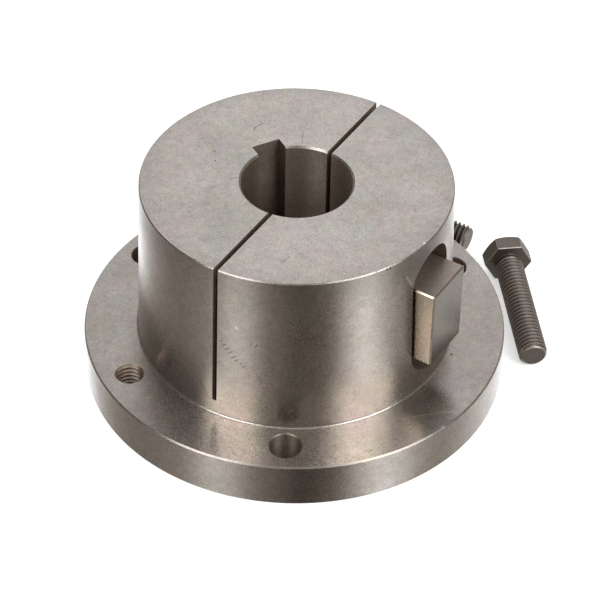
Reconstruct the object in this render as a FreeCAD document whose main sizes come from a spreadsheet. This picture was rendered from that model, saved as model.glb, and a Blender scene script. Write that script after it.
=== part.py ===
"""Quick disconnect bushing of the split taper kind, with its outside key and its loose cap screws.

The frame is in millimetres: Z runs along the bore from the flange to the small end of the barrel,
the origin is on the bore's axis at the flange's back face, and the bore's keyway points along +Y.
Every size is a cell of the sheet named sizes, and each feature takes its sizes from those cells.
"""

import FreeCAD, Part
import math
import os

import Sketcher

PARTS_FOLDER = "parts"
TOLERANCE = 1e-4

SIZES = (
    ("barrel_length", 57.15, "from the flange's face to the small end, 2 1/4 in"),
    ("barrel_large_diameter", 101.6, "at the flange's face, 4 in"),
    ("barrel_taper", 0.0625, "diameter lost for each unit of length, 3/4 in in a foot"),
    ("barrel_root_fillet", 0.8, "where the barrel meets the flange"),
    ("barrel_rim_chamfer", 0.35, "broken edge at the small end"),
    ("flange_thickness", 15.875, "5/8 in"),
    ("hole_root_distance", 7.9375, "from the barrel's root to the flange holes' centres, 5/16 in"),
    ("hole_rim_distance", 9.525, "from the flange holes' centres to the rim, 3/8 in"),
    ("flange_face_chamfer", 0.8, "outer edge on the barrel's side"),
    ("flange_back_chamfer", 0.5, "outer edge on the back"),
    ("bore_diameter", 34.925, "shaft size, 1 3/8 in"),
    ("bore_chamfer", 0.8, "both ends of the bore"),
    ("keyway_width", 9.525, "bore keyway, 3/8 in"),
    ("keyway_side_depth", 4.7625, "measured down the keyway's side wall, 3/16 in"),
    ("keyseat_angle", -59.6, "direction of the outside key, in degrees from +X"),
    ("keyseat_width", 20.6375, "seat with end-milled round ends, 13/16 in"),
    ("keyseat_depth", 7.2, "flat floor below the barrel's surface, midway along the seat"),
    ("keyseat_lift", 5.2, "lower end above the flange's face"),
    ("keyseat_land", 5.0, "upper end below the small end"),
    ("key_height", 12.7, "from the seat's floor to the key's outer face, 1/2 in"),
    ("key_side_clearance", 1.0, "between the key and each side of its seat"),
    ("key_lower_clearance", 9.0, "between the key and the seat's lower end"),
    ("key_upper_clearance", 10.1, "between the key and the seat's upper end"),
    ("key_edge_chamfer", 0.5, "all edges of the key"),
    ("saw_cut_angle", -58.4, "way the cut faces, in degrees from +X"),
    ("saw_cut_width", 1.5875, "1/16 in"),
    ("saw_cut_offset", 1.4, "cut's middle plane from the bore's axis, towards the key"),
    ("saw_cut_lift", 5.2, "foot of the cut above the flange's face"),
    ("cutter_overrun", 2.0, "how far a cut's outline runs past the metal"),
    ("clear_hole_play", 0.795, "added to the screw's diameter for a clear hole, 1/32 in"),
    ("clear_hole_count", 3, "evenly spaced, the first on +X"),
    ("tapped_hole_angle", 60.0, "first tapped hole, in degrees from +X"),
    ("tapped_hole_spacing_angle", 120.0, "degrees between the two tapped holes"),
    ("hole_edge_chamfer", 0.4, "mouths of the flange's holes"),
    ("head_across_flats", 14.2875, "hexagon of the cap screw, 9/16 in"),
    ("head_height", 5.95, "15/64 in"),
    ("head_crown_margin", 0.45, "from the hexagon's flats to the flat circle on top of the head"),
    ("head_chamfer_slope", 30.0, "degrees between the head's chamfer and its flat top"),
    ("screw_diameter", 9.525, "over the thread, 3/8 in"),
    ("screw_pitch", 1.5875, "16 threads to the inch, also how much smaller a tapped hole is drilled"),
    ("screw_length", 44.45, "under the head, 1 3/4 in"),
    ("screw_tip_chamfer", 1.0, "at the end of the thread"),
    ("screw_1_place_angle", 1.0, "bearing face of the head, in degrees from +X round the axis"),
    ("screw_1_distance", 14.7, "bearing face from the flange's rim"),
    ("screw_1_heading_angle", -110.2, "way the tip points, in degrees from +X"),
    ("screw_2_place_angle", 14.7, "tip, in degrees from +X round the axis"),
    ("screw_2_distance", 13.1, "tip from the flange's rim"),
    ("screw_2_heading_angle", -56.0, "way the tip points, in degrees from +X"),
    ("screw_3_place_angle", 56.0, "tip, in degrees from +X round the axis"),
    ("screw_3_distance", 31.7, "tip from the flange's rim"),
    ("screw_3_heading_angle", -15.0, "way the tip points, in degrees from +X"),
)

BARREL_LARGE_RADIUS = "(sizes.barrel_large_diameter / 2)"
BARREL_SMALL_RADIUS = f"({BARREL_LARGE_RADIUS} - sizes.barrel_taper / 2 * sizes.barrel_length)"
BOLT_CIRCLE_RADIUS = f"({BARREL_LARGE_RADIUS} + sizes.hole_root_distance)"
FLANGE_RADIUS = f"({BOLT_CIRCLE_RADIUS} + sizes.hole_rim_distance)"
OVERALL_LENGTH = "(sizes.flange_thickness + sizes.barrel_length)"
CLEAR_HOLE_DIAMETER = "(sizes.screw_diameter + sizes.clear_hole_play)"
TAPPED_HOLE_DIAMETER = "(sizes.screw_diameter - sizes.screw_pitch)"
KEYWAY_FLOOR = "(sqrt((sizes.bore_diameter / 2)^2 - (sizes.keyway_width / 2)^2) + sizes.keyway_side_depth)"
KEYSEAT_FOOT = "(sizes.flange_thickness + sizes.keyseat_lift)"
KEYSEAT_TOP = f"({OVERALL_LENGTH} - sizes.keyseat_land)"
KEYSEAT_MIDDLE = f"(({KEYSEAT_FOOT} + {KEYSEAT_TOP}) / 2)"
KEYSEAT_FLOOR = (
    f"({BARREL_LARGE_RADIUS} - sizes.barrel_taper / 2 * ({KEYSEAT_MIDDLE} - sizes.flange_thickness)"
    " - sizes.keyseat_depth)"
)
SAW_CUT_FOOT = "(sizes.flange_thickness + sizes.saw_cut_lift)"
SAW_CUT_REACH = f"({BARREL_LARGE_RADIUS} + sizes.cutter_overrun)"
HEAD_CORNER_RADIUS = "(sizes.head_across_flats / 2 / cos(30))"
# A screw on a flat surface leans on one edge of its head and on the end of its thread.
SCREW_LEAN = (
    "atan((sizes.head_across_flats - sizes.screw_diameter) / 2"
    " / (sizes.screw_length - sizes.screw_tip_chamfer))"
)
# Each screw lies by a point whose place the sheet gives: how far its bearing face is behind that point.
SCREW_SETBACKS = ("0", "sizes.screw_length", "sizes.screw_length")

doc = FreeCAD.newDocument("quick_disconnect_bushing")


def make_sheet():
    """Put every driving dimension in a cell with an alias of its own."""
    sheet = doc.addObject("Spreadsheet::Sheet", "sizes")
    for row, (alias, number, note) in enumerate(SIZES, 1):
        sheet.set(f"A{row}", alias)
        sheet.set(f"B{row}", str(number))
        sheet.set(f"C{row}", note)
        sheet.setAlias(f"B{row}", alias)
    doc.recompute()
    return sheet


def value(expression):
    """Number that an expression in the sheet's cells gives now."""
    return float(sizes.evalExpression(expression))


def vector(x, y, z):
    return f"create(<<vector>>; {x}; {y}; {z})"


def placement(position, rotation):
    return f"create(<<placement>>; {position}; create(<<rotation>>; {rotation}))"


def new_body(label):
    body = doc.addObject("PartDesign::Body", label)
    body.Label = label
    return body


def attach(body, item, role, offset):
    """Put an item on one of the body's own origin planes, moved and turned by an expression."""
    plane = next(feature for feature in body.Origin.OriginFeatures if feature.Role == role)
    item.AttachmentSupport = [(plane, "")]
    item.MapMode = "FlatFace"
    if offset:
        item.setExpression("AttachmentOffset", offset)


def new_sketch(body, name, role, offset=None):
    sketch = body.newObject("Sketcher::SketchObject", name)
    attach(body, sketch, role, offset)
    return sketch


def set_size(sketch, kind, targets, name, expression):
    """Add a named dimension that follows an expression."""
    index = sketch.addConstraint(Sketcher.Constraint(kind, *targets, value(expression)))
    sketch.renameConstraint(index, name)
    sketch.setExpression(".Constraints." + name, expression)


def place_point(sketch, point, name, x, y):
    """Fix a point by its distances from the sketch's origin, or on the axis where one is zero."""
    origin = (-1, 1)
    for kind, expression, axis in (("DistanceX", x, -2), ("DistanceY", y, -1)):
        if expression == "0":
            sketch.addConstraint(Sketcher.Constraint("PointOnObject", *point, axis))
        else:
            set_size(sketch, kind, (*origin, *point), f"{name}_{kind[-1].lower()}", expression)


def draw_outline(sketch, corners):
    """Closed outline of straight lines through named corners."""
    points = [FreeCAD.Vector(value(x), value(y), 0) for name, x, y in corners]
    count = len(points)
    for index, point in enumerate(points):
        sketch.addGeometry(Part.LineSegment(point, points[(index + 1) % count]))
    for index in range(count):
        following = (index + 1) % count
        sketch.addConstraint(Sketcher.Constraint("Coincident", index, 2, following, 1))
    for index, (name, x, y) in enumerate(corners):
        place_point(sketch, (index, 1), name, x, y)


def draw_circle(sketch, name, diameter, x, y):
    centre = FreeCAD.Vector(value(x), value(y), 0)
    up = FreeCAD.Vector(0, 0, 1)
    circle = sketch.addGeometry(Part.Circle(centre, up, value(diameter) / 2))
    set_size(sketch, "Diameter", (circle,), f"{name}_diameter", diameter)
    place_point(sketch, (circle, 3), name, x, y)


def draw_slot(sketch, width, low, high):
    """Upright slot with half-round ends, its arc centres at the heights low and high."""
    radius = value(width) / 2
    centres = (FreeCAD.Vector(0, value(low), 0), FreeCAD.Vector(0, value(high), 0))
    up = FreeCAD.Vector(0, 0, 1)
    side = FreeCAD.Vector(radius, 0, 0)
    lower = sketch.addGeometry(Part.ArcOfCircle(Part.Circle(centres[0], up, radius), math.pi, 2 * math.pi))
    right = sketch.addGeometry(Part.LineSegment(centres[0] + side, centres[1] + side))
    upper = sketch.addGeometry(Part.ArcOfCircle(Part.Circle(centres[1], up, radius), 0, math.pi))
    left = sketch.addGeometry(Part.LineSegment(centres[1] - side, centres[0] - side))
    ring = (lower, right, upper, left)
    for index, edge in enumerate(ring):
        following = ring[(index + 1) % len(ring)]
        sketch.addConstraint(Sketcher.Constraint("Tangent", edge, 2, following, 1))
    sketch.addConstraint(Sketcher.Constraint("Equal", lower, upper))
    set_size(sketch, "Radius", (lower,), "end_radius", f"{width} / 2")
    place_point(sketch, (lower, 3), "lower_end", "0", low)
    place_point(sketch, (upper, 3), "upper_end", "0", high)


def revolve(body, kind, name, sketch):
    """Turn a sketch of the XZ plane about the sketch's upright axis."""
    feature = body.newObject(kind, name)
    feature.Profile = sketch
    feature.ReferenceAxis = (sketch, ["V_Axis"])
    feature.Angle = 360
    return feature


def pad(body, name, sketch, length):
    feature = body.newObject("PartDesign::Pad", name)
    feature.Profile = sketch
    feature.setExpression("Length", length)
    return feature


def cut_through(body, name, sketch):
    """Pocket that cuts all the way along the sketch's normal."""
    feature = body.newObject("PartDesign::Pocket", name)
    feature.Profile = sketch
    feature.Type = "ThroughAll"
    feature.Reversed = True
    return feature


def ring_edge(feature, radius, height):
    """Name of the feature's full circular edge of this radius at this height."""
    for number, edge in enumerate(feature.Shape.Edges, 1):
        if not isinstance(edge.Curve, Part.Circle):
            continue
        misses = (edge.Curve.Radius - value(radius), edge.Curve.Center.z - value(height))
        if all(abs(miss) < TOLERANCE for miss in misses):
            return f"Edge{number}"
    raise ValueError(f"{feature.Name} has no ring of radius {radius} at {height}")


def dress_edges(body, kind, name, base, rings, size):
    """Chamfer or fillet rings of the base feature, each given by its radius and height."""
    doc.recompute()
    edges = [ring_edge(base, radius, height) for radius, height in rings]
    feature = body.newObject(kind, name)
    feature.Base = (base, edges)
    feature.setExpression("Radius" if kind == "PartDesign::Fillet" else "Size", size)
    body.Tip = feature
    return feature


def drill(body, name, sketch, diameter):
    """Hole right through the flange, its mouth countersunk by the edge chamfer."""
    doc.recompute()
    feature = body.newObject("PartDesign::Hole", name)
    feature.Profile = sketch
    feature.DepthType = "ThroughAll"
    feature.HoleCutType = "Countersink"
    feature.HoleCutCustomValues = True
    feature.HoleCutCountersinkAngle = 90
    feature.setExpression("Diameter", diameter)
    feature.setExpression("HoleCutDiameter", f"{diameter} + 2 * sizes.hole_edge_chamfer")
    return feature


def repeat_around(body, name, feature, sketch, count, angle):
    """Polar pattern about the sketch's normal."""
    pattern = body.newObject("PartDesign::PolarPattern", name)
    pattern.Originals = [feature]
    pattern.Axis = (sketch, ["N_Axis"])
    pattern.setExpression("Angle", angle)
    pattern.setExpression("Occurrences", count)
    body.Tip = pattern
    return pattern


def turn_bushing(body):
    """Flange, tapered barrel and bore in one turned profile, with their edges broken."""
    profile = new_sketch(body, "turned_profile", "XZ_Plane")
    bore = "sizes.bore_diameter / 2"
    rim = FLANGE_RADIUS
    draw_outline(
        profile,
        (
            ("bore_back", bore, "0"),
            ("flange_back", rim, "0"),
            ("flange_face", rim, "sizes.flange_thickness"),
            ("barrel_root", BARREL_LARGE_RADIUS, "sizes.flange_thickness"),
            ("barrel_rim", BARREL_SMALL_RADIUS, OVERALL_LENGTH),
            ("bore_front", bore, OVERALL_LENGTH),
        ),
    )
    turned = revolve(body, "PartDesign::Revolution", "turned_blank", profile)
    root = dress_edges(
        body, "PartDesign::Fillet", "root_fillet", turned,
        [(BARREL_LARGE_RADIUS, "sizes.flange_thickness")], "sizes.barrel_root_fillet",
    )
    mouths = dress_edges(
        body, "PartDesign::Chamfer", "bore_mouths", root,
        [(bore, "0"), (bore, OVERALL_LENGTH)], "sizes.bore_chamfer",
    )
    face_edge = dress_edges(
        body, "PartDesign::Chamfer", "flange_face_edge", mouths,
        [(rim, "sizes.flange_thickness")], "sizes.flange_face_chamfer",
    )
    back_edge = dress_edges(
        body, "PartDesign::Chamfer", "flange_back_edge", face_edge,
        [(rim, "0")], "sizes.flange_back_chamfer",
    )
    return dress_edges(
        body, "PartDesign::Chamfer", "barrel_rim_edge", back_edge,
        [(BARREL_SMALL_RADIUS, OVERALL_LENGTH)], "sizes.barrel_rim_chamfer",
    )


def cut_keyway(body):
    """Keyway along the whole bore, on its +Y side."""
    sketch = new_sketch(body, "keyway_outline", "XY_Plane")
    side = "sizes.keyway_width / 2"
    draw_outline(
        sketch,
        (
            ("left_mouth", f"-{side}", "0"),
            ("right_mouth", side, "0"),
            ("right_floor", side, KEYWAY_FLOOR),
            ("left_floor", f"-{side}", KEYWAY_FLOOR),
        ),
    )
    return cut_through(body, "bore_keyway", sketch)


def facing(angle, distance):
    """Offset that turns the YZ plane to face an angle round the bore, at a distance from the axis."""
    position = vector(f"{distance} * sin({angle})", "0", f"{distance} * cos({angle})")
    return placement(position, f"{vector('0', '1', '0')}; {angle}")


def cut_keyseat(body):
    """Closed seat for the outside key, milled into the barrel from the side."""
    sketch = new_sketch(body, "keyseat_outline", "YZ_Plane", facing("sizes.keyseat_angle", KEYSEAT_FLOOR))
    end = "sizes.keyseat_width / 2"
    draw_slot(sketch, "sizes.keyseat_width", f"{KEYSEAT_FOOT} + {end}", f"{KEYSEAT_TOP} - {end}")
    return cut_through(body, "keyseat", sketch)


def cut_barrel(body):
    """Saw cut through both walls of the barrel, about square to the key and short of the flange."""
    offset = facing("sizes.saw_cut_angle", "sizes.saw_cut_offset")
    sketch = new_sketch(body, "saw_cut_outline", "YZ_Plane", offset)
    top = f"{OVERALL_LENGTH} + sizes.cutter_overrun"
    draw_outline(
        sketch,
        (
            ("left_foot", f"-{SAW_CUT_REACH}", SAW_CUT_FOOT),
            ("right_foot", SAW_CUT_REACH, SAW_CUT_FOOT),
            ("right_top", SAW_CUT_REACH, top),
            ("left_top", f"-{SAW_CUT_REACH}", top),
        ),
    )
    cut = body.newObject("PartDesign::Pocket", "saw_cut")
    cut.Profile = sketch
    cut.SideType = "Symmetric"
    cut.setExpression("Length", "sizes.saw_cut_width")
    return cut


def drill_flange(body):
    """Clear holes for the cap screws, and tapped holes between them that push the bushing off."""
    flange_face = placement(vector("0", "0", "sizes.flange_thickness"), "0; 0; 0")
    clear = new_sketch(body, "clear_hole_place", "XY_Plane", flange_face)
    draw_circle(clear, "clear_hole", CLEAR_HOLE_DIAMETER, BOLT_CIRCLE_RADIUS, "0")
    clear_hole = drill(body, "clear_hole", clear, CLEAR_HOLE_DIAMETER)
    repeat_around(body, "clear_holes", clear_hole, clear, "sizes.clear_hole_count", "360")
    tapped = new_sketch(body, "tapped_hole_place", "XY_Plane", flange_face)
    across = f"{BOLT_CIRCLE_RADIUS} * cos(sizes.tapped_hole_angle)"
    along = f"{BOLT_CIRCLE_RADIUS} * sin(sizes.tapped_hole_angle)"
    draw_circle(tapped, "tapped_hole", TAPPED_HOLE_DIAMETER, across, along)
    tapped_hole = drill(body, "tapped_hole", tapped, TAPPED_HOLE_DIAMETER)
    repeat_around(body, "tapped_holes", tapped_hole, tapped, "2", "sizes.tapped_hole_spacing_angle")


def make_bushing():
    body = new_body("tapered_bushing")
    turn_bushing(body)
    cut_keyway(body)
    cut_keyseat(body)
    cut_barrel(body)
    drill_flange(body)
    return body


def make_key():
    """Flat outside key with its inner face on the seat's floor."""
    body = new_body("outside_key")
    sketch = new_sketch(body, "key_section", "XY_Plane")
    side = "(sizes.keyseat_width / 2 - sizes.key_side_clearance)"
    draw_outline(
        sketch,
        (
            ("inner_right", "0", f"-{side}"),
            ("outer_right", "sizes.key_height", f"-{side}"),
            ("outer_left", "sizes.key_height", side),
            ("inner_left", "0", side),
        ),
    )
    foot = f"({KEYSEAT_FOOT} + sizes.key_lower_clearance)"
    top = f"({KEYSEAT_TOP} - sizes.key_upper_clearance)"
    blank = pad(body, "key_blank", sketch, f"{top} - {foot}")
    doc.recompute()
    edges = body.newObject("PartDesign::Chamfer", "key_edges")
    edges.Base = (blank, ["Edge1"])
    edges.UseAllEdges = True
    edges.setExpression("Size", "sizes.key_edge_chamfer")
    position = vector(
        f"{KEYSEAT_FLOOR} * cos(sizes.keyseat_angle)", f"{KEYSEAT_FLOOR} * sin(sizes.keyseat_angle)", foot
    )
    body.setExpression("Placement", placement(position, "sizes.keyseat_angle; 0; 0"))
    return body


def make_screw(number, setback):
    """Cap screw lying beside the flange: Z of its own frame runs from the head's bearing face to the tip."""
    body = new_body(f"cap_screw_{number}")
    head = body.newObject("PartDesign::AdditivePrism", f"head_{number}")
    attach(body, head, "XY_Plane", placement(vector("0", "0", "-sizes.head_height"), "30; 0; 0"))
    head.Polygon = 6
    head.setExpression("Circumradius", HEAD_CORNER_RADIUS)
    head.setExpression("Height", "sizes.head_height")

    crown = "(sizes.head_across_flats / 2 - sizes.head_crown_margin)"
    beyond = f"({HEAD_CORNER_RADIUS} + sizes.cutter_overrun)"
    drop = f"({beyond} - {crown}) * tan(sizes.head_chamfer_slope)"
    corner = new_sketch(body, f"head_chamfer_outline_{number}", "XZ_Plane")
    draw_outline(
        corner,
        (
            ("crown_edge", crown, "-sizes.head_height"),
            ("beyond_top", beyond, "-sizes.head_height"),
            ("beyond_side", beyond, f"-sizes.head_height + {drop}"),
        ),
    )
    revolve(body, "PartDesign::Groove", f"head_chamfer_{number}", corner)

    section = new_sketch(body, f"shank_section_{number}", "XY_Plane")
    draw_circle(section, "shank", "sizes.screw_diameter", "0", "0")
    shank = pad(body, f"shank_{number}", section, "sizes.screw_length")
    dress_edges(
        body, "PartDesign::Chamfer", f"tip_{number}", shank,
        [("sizes.screw_diameter / 2", "sizes.screw_length")], "sizes.screw_tip_chamfer",
    )

    heading = f"sizes.screw_{number}_heading_angle"
    place_angle = f"sizes.screw_{number}_place_angle"
    reach = f"({FLANGE_RADIUS} + sizes.screw_{number}_distance)"
    position = vector(
        f"{reach} * cos({place_angle}) - {setback} * cos({heading})",
        f"{reach} * sin({place_angle}) - {setback} * sin({heading})",
        f"sizes.head_across_flats / 2 * cos({SCREW_LEAN})",
    )
    body.setExpression("Placement", placement(position, f"{heading}; 90deg + {SCREW_LEAN}; 0"))
    return body


def check_features(body):
    """Stop if a feature failed, if a cut removed nothing or if the body isn't one valid solid."""
    cuts = ("Pocket", "Groove", "Hole", "Chamfer", "PolarPattern")
    volume = 0
    for feature in body.Group:
        if not feature.isDerivedFrom("PartDesign::Feature"):
            continue
        before, volume = volume, feature.Shape.Volume
        if feature.TypeId.split("::")[1] in cuts and volume > before - TOLERANCE:
            raise ValueError(f"{feature.Name} removed nothing")
    shape = body.Shape
    if shape.isNull() or not shape.isValid() or len(shape.Solids) != 1:
        raise ValueError(f"{body.Label} isn't one valid solid")


sizes = make_sheet()
bodies = [make_bushing(), make_key()]
for number, setback in enumerate(SCREW_SETBACKS, 1):
    bodies.append(make_screw(number, setback))
doc.recompute()

for item in doc.Objects:
    if "Invalid" in item.State or "Error" in item.State:
        raise ValueError(f"{item.Name} failed: {item.State}")
for body in bodies:
    check_features(body)

os.makedirs(PARTS_FOLDER, exist_ok=True)
for body in bodies:
    body.Shape.exportStep(os.path.join(PARTS_FOLDER, body.Label + ".step"))
    print(body.Label, round(body.Shape.Volume, 1), "cubic mm")
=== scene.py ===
"""Looks of a split taper bushing, its outside key and its loose cap screws.

Lengths are written in millimetres and scaled to metres as each mesh is made. Z runs up the bore
from the flange's back face, and the bore's keyway points along +Y.
"""

import math

import bmesh
import bpy
from mathutils import Matrix, Vector


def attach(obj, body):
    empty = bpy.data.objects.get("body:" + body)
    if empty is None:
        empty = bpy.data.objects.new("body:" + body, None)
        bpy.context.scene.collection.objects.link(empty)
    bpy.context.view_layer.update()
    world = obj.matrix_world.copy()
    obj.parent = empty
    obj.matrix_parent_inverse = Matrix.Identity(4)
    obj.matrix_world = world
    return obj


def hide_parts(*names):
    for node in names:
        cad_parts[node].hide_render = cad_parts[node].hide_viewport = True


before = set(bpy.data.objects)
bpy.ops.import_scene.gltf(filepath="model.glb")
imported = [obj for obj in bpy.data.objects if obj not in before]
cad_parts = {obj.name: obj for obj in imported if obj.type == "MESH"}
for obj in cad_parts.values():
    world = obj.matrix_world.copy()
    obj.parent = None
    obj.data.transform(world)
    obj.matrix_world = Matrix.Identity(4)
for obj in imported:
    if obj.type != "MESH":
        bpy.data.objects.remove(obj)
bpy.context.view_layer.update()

MM = 0.001
TAU = 2 * math.pi
UP = (0, 0, 1)

# Bushing
FLANGE_RADIUS = 68.2625
FLANGE_THICKNESS = 15.875
FLANGE_FACE_CHAMFER = 0.45
FLANGE_BACK_CHAMFER = 0.5
BARREL_ROOT_RADIUS = 50.8
BARREL_TOP_RADIUS = 49.0140625
BARREL_RIM_CHAMFER = 0.35
ROOT_FILLET = 0.8
OVERALL_LENGTH = 73.025
BORE_RADIUS = 17.4625
BORE_CHAMFER = 0.6
KEYWAY_HALF_WIDTH = 4.7625
KEYWAY_FLOOR = 21.5633
BOLT_CIRCLE_RADIUS = 58.7375
CLEAR_HOLE_RADIUS = 5.16
HOLE_EDGE_CHAMFER = 0.3
TAPPED_EDGE_CHAMFER = 0.6
CLEAR_HOLE_ANGLES = (0, 120, 240)
TAPPED_HOLE_ANGLES = (60, 180)
# Turns the drills' corners away from those of the flange, so that no two coincide
TOOL_TURN = math.radians(1.3)
# How far the bushing's cutting tools go past it, and the drills past the flange
CUT_BEYOND = 2.0
DRILL_BEYOND = 1.0

# Outside key's seat, and the saw cut
KEYSEAT_ANGLE = -59.6
KEYSEAT_HALF_WIDTH = 10.31875
KEYSEAT_FOOT = 21.075
KEYSEAT_TOP = 68.025
KEYSEAT_FLOOR = 42.7018
SAW_CUT_ANGLE = -58.4
SAW_CUT_HALF_WIDTH = 0.79375
SAW_CUT_OFFSET = 1.4
SAW_CUT_FOOT = 21.075

# Threads. Each row of the form is a share of the pitch and the height there from root to crest.
THREAD_MAJOR_RADIUS = 4.7625
THREAD_MINOR_RADIUS = 3.96875
THREAD_PITCH = 1.5875
THREAD_FORM = (
    (0.0, 0.92), (0.03, 1.0), (0.095, 1.0), (0.125, 0.92),
    (0.42, 0.08), (0.48, 0.0), (0.645, 0.0), (0.705, 0.08),
)
SPARE_TURNS = 3
TAP_MAJOR_RADIUS = THREAD_MAJOR_RADIUS + 0.05
TAP_MINOR_RADIUS = THREAD_MINOR_RADIUS - 0.02
TAP_START = -2.5 * THREAD_PITCH
TAP_REACH = 1.2 * THREAD_PITCH
SCREW_ROOT_RADIUS = THREAD_MINOR_RADIUS - 0.1
SCREW_THREAD_START = -1.5 * THREAD_PITCH
RUNOUT_START = 0.6
RUNOUT_LENGTH = 1.8

# Screws
SCREW_LENGTH = 44.45
SCREW_TIP_CHAMFER = 1.0
HEAD_ACROSS_FLATS = 14.2875
HEAD_HEIGHT = 5.95
HEAD_CROWN_MARGIN = 0.45
HEAD_EDGE_BEVEL = 0.3
HEAD_CHAMFER_SLOPE = math.radians(30)
# Edges of the head lie further from the axis than this, and turn by more than this angle
HEAD_EDGE_RADIUS = 6.2
HEAD_EDGE_ANGLE = math.radians(20)
# node, direction and distance from the flange's rim of the point that places it, setback, heading
SCREWS = (
    ("cap_screw_1", 1.0, 14.7, 0, -110.2),
    ("cap_screw_2", 14.7, 13.1, SCREW_LENGTH, -56.0),
    ("cap_screw_3", 56.0, 31.7, SCREW_LENGTH, -15.0),
)
# Shares of the screws' dark finish that are worn off to bare steel, which also paint highlights on
# the crests, the head's edges and the tip's chamfer
WEAR_AND_HIGHLIGHT_TIP_FLAT = 0.42
WEAR_AND_HIGHLIGHT_TIP_BEVEL = 0.8
WEAR_AND_HIGHLIGHT_CREST = 0.65
WEAR_AND_HIGHLIGHT_HEAD_FLAT = 0.33
WEAR_AND_HIGHLIGHT_HEAD_EDGE = 1.0

# Fineness of the meshes
BUSHING_SIDES = 480
TOOL_SIDES = 96
THREAD_SIDES = 72
FILLET_STEPS = 8
SEAT_STEPS = 48
BARREL_BANDS = 4
# Narrow band beside the root fillet that keeps the faces next to it evenly shaded
FILLET_SUPPORT = 0.08
# Corners closer than this, in metres, are one
SLIVER = 2e-7
# Edges sharper than these angles, in degrees, stay sharp in the shading
BUSHING_SHARP = 24
SCREW_SHARP = 22

# Camera, fitted to the photograph with the object turned by PHOTO_TURN
PHOTO_TURN = math.radians(28)
CAMERA_PLACE = (0.000785, -0.568491, 0.522505)
CAMERA_PAN = math.radians(-0.0883)
CAMERA_TILT = math.radians(41.2452)
CAMERA_ROLL = math.radians(1.0659)
CAMERA_LENS = 140.201
SENSOR_WIDTH = 36.0
CLIP_START, CLIP_END = 0.01, 20


def make_object(name, points, faces):
    """Mesh object from points in millimetres."""
    mesh = bpy.data.meshes.new(name)
    mesh.from_pydata([(x * MM, y * MM, z * MM) for x, y, z in points], [], faces)
    mesh.validate()
    item = bpy.data.objects.new(name, mesh)
    bpy.context.scene.collection.objects.link(item)
    return item


def lathe(name, profile, count=TOOL_SIDES, start=0.0):
    """Closed solid turned about Z from (radius, height) corners, which run up the outside."""
    angles = [start + TAU * step / count for step in range(count)]
    points, rings = [], []
    for radius, height in profile:
        if radius == 0:
            rings.append([len(points)] * count)
            points.append((0, 0, height))
            continue
        rings.append(range(len(points), len(points) + count))
        points += [(radius * math.cos(a), radius * math.sin(a), height) for a in angles]
    faces = []
    closed = profile[0][0] != 0
    pairs = list(zip(rings, rings[1:])) + ([(rings[-1], rings[0])] if closed else [])
    for lower, upper in pairs:
        for step in range(count):
            after = (step + 1) % count
            corners = (lower[step], lower[after], upper[after], upper[step])
            faces.append(tuple(dict.fromkeys(corners)))
    return make_object(name, points, faces)


def prism(name, outline, low, high, turn=None):
    """Closed solid between two heights over an outline that runs anticlockwise."""
    count = len(outline)
    points = [(x, y, low) for x, y in outline] + [(x, y, high) for x, y in outline]
    if turn:
        points = [turn @ Vector(point) for point in points]
    faces = [tuple(reversed(range(count))), tuple(range(count, 2 * count))]
    for step in range(count):
        after = (step + 1) % count
        faces.append((step, after, after + count, step + count))
    return make_object(name, points, faces)


def combine(item, tool, operation):
    """Apply a boolean with a tool, which is then gone."""
    step = item.modifiers.new("combine", "BOOLEAN")
    step.operation = operation
    step.solver = "EXACT"
    step.object = tool
    apply_modifiers(item)
    bpy.data.objects.remove(tool)


def apply_modifiers(item):
    """Make the mesh what its modifiers show."""
    depsgraph = bpy.context.evaluated_depsgraph_get()
    made = bpy.data.meshes.new_from_object(item.evaluated_get(depsgraph))
    item.modifiers.clear()
    item.data = made


def join(items):
    """One object from the meshes of several that stay clear of each other."""
    whole = bmesh.new()
    for item in items:
        whole.from_mesh(item.data)
        bpy.data.objects.remove(item)
    mesh = bpy.data.meshes.new("joined")
    whole.to_mesh(mesh)
    whole.free()
    joined = bpy.data.objects.new("joined", mesh)
    bpy.context.scene.collection.objects.link(joined)
    return joined


def clean(item):
    """Close up the slivers that a cut leaves."""
    mesh = bmesh.new()
    mesh.from_mesh(item.data)
    bmesh.ops.remove_doubles(mesh, verts=mesh.verts, dist=SLIVER)
    bmesh.ops.dissolve_degenerate(mesh, edges=mesh.edges, dist=SLIVER)
    mesh.to_mesh(item.data)
    mesh.free()


def smooth(item, degrees):
    """Smooth shading that keeps edges sharper than an angle, and large faces flat."""
    item.data.shade_smooth()
    item.data.set_sharp_from_angle(angle=math.radians(degrees))
    step = item.modifiers.new("weighted_normals", "WEIGHTED_NORMAL")
    step.keep_sharp = True
    step.weight = 100
    apply_modifiers(item)


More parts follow.
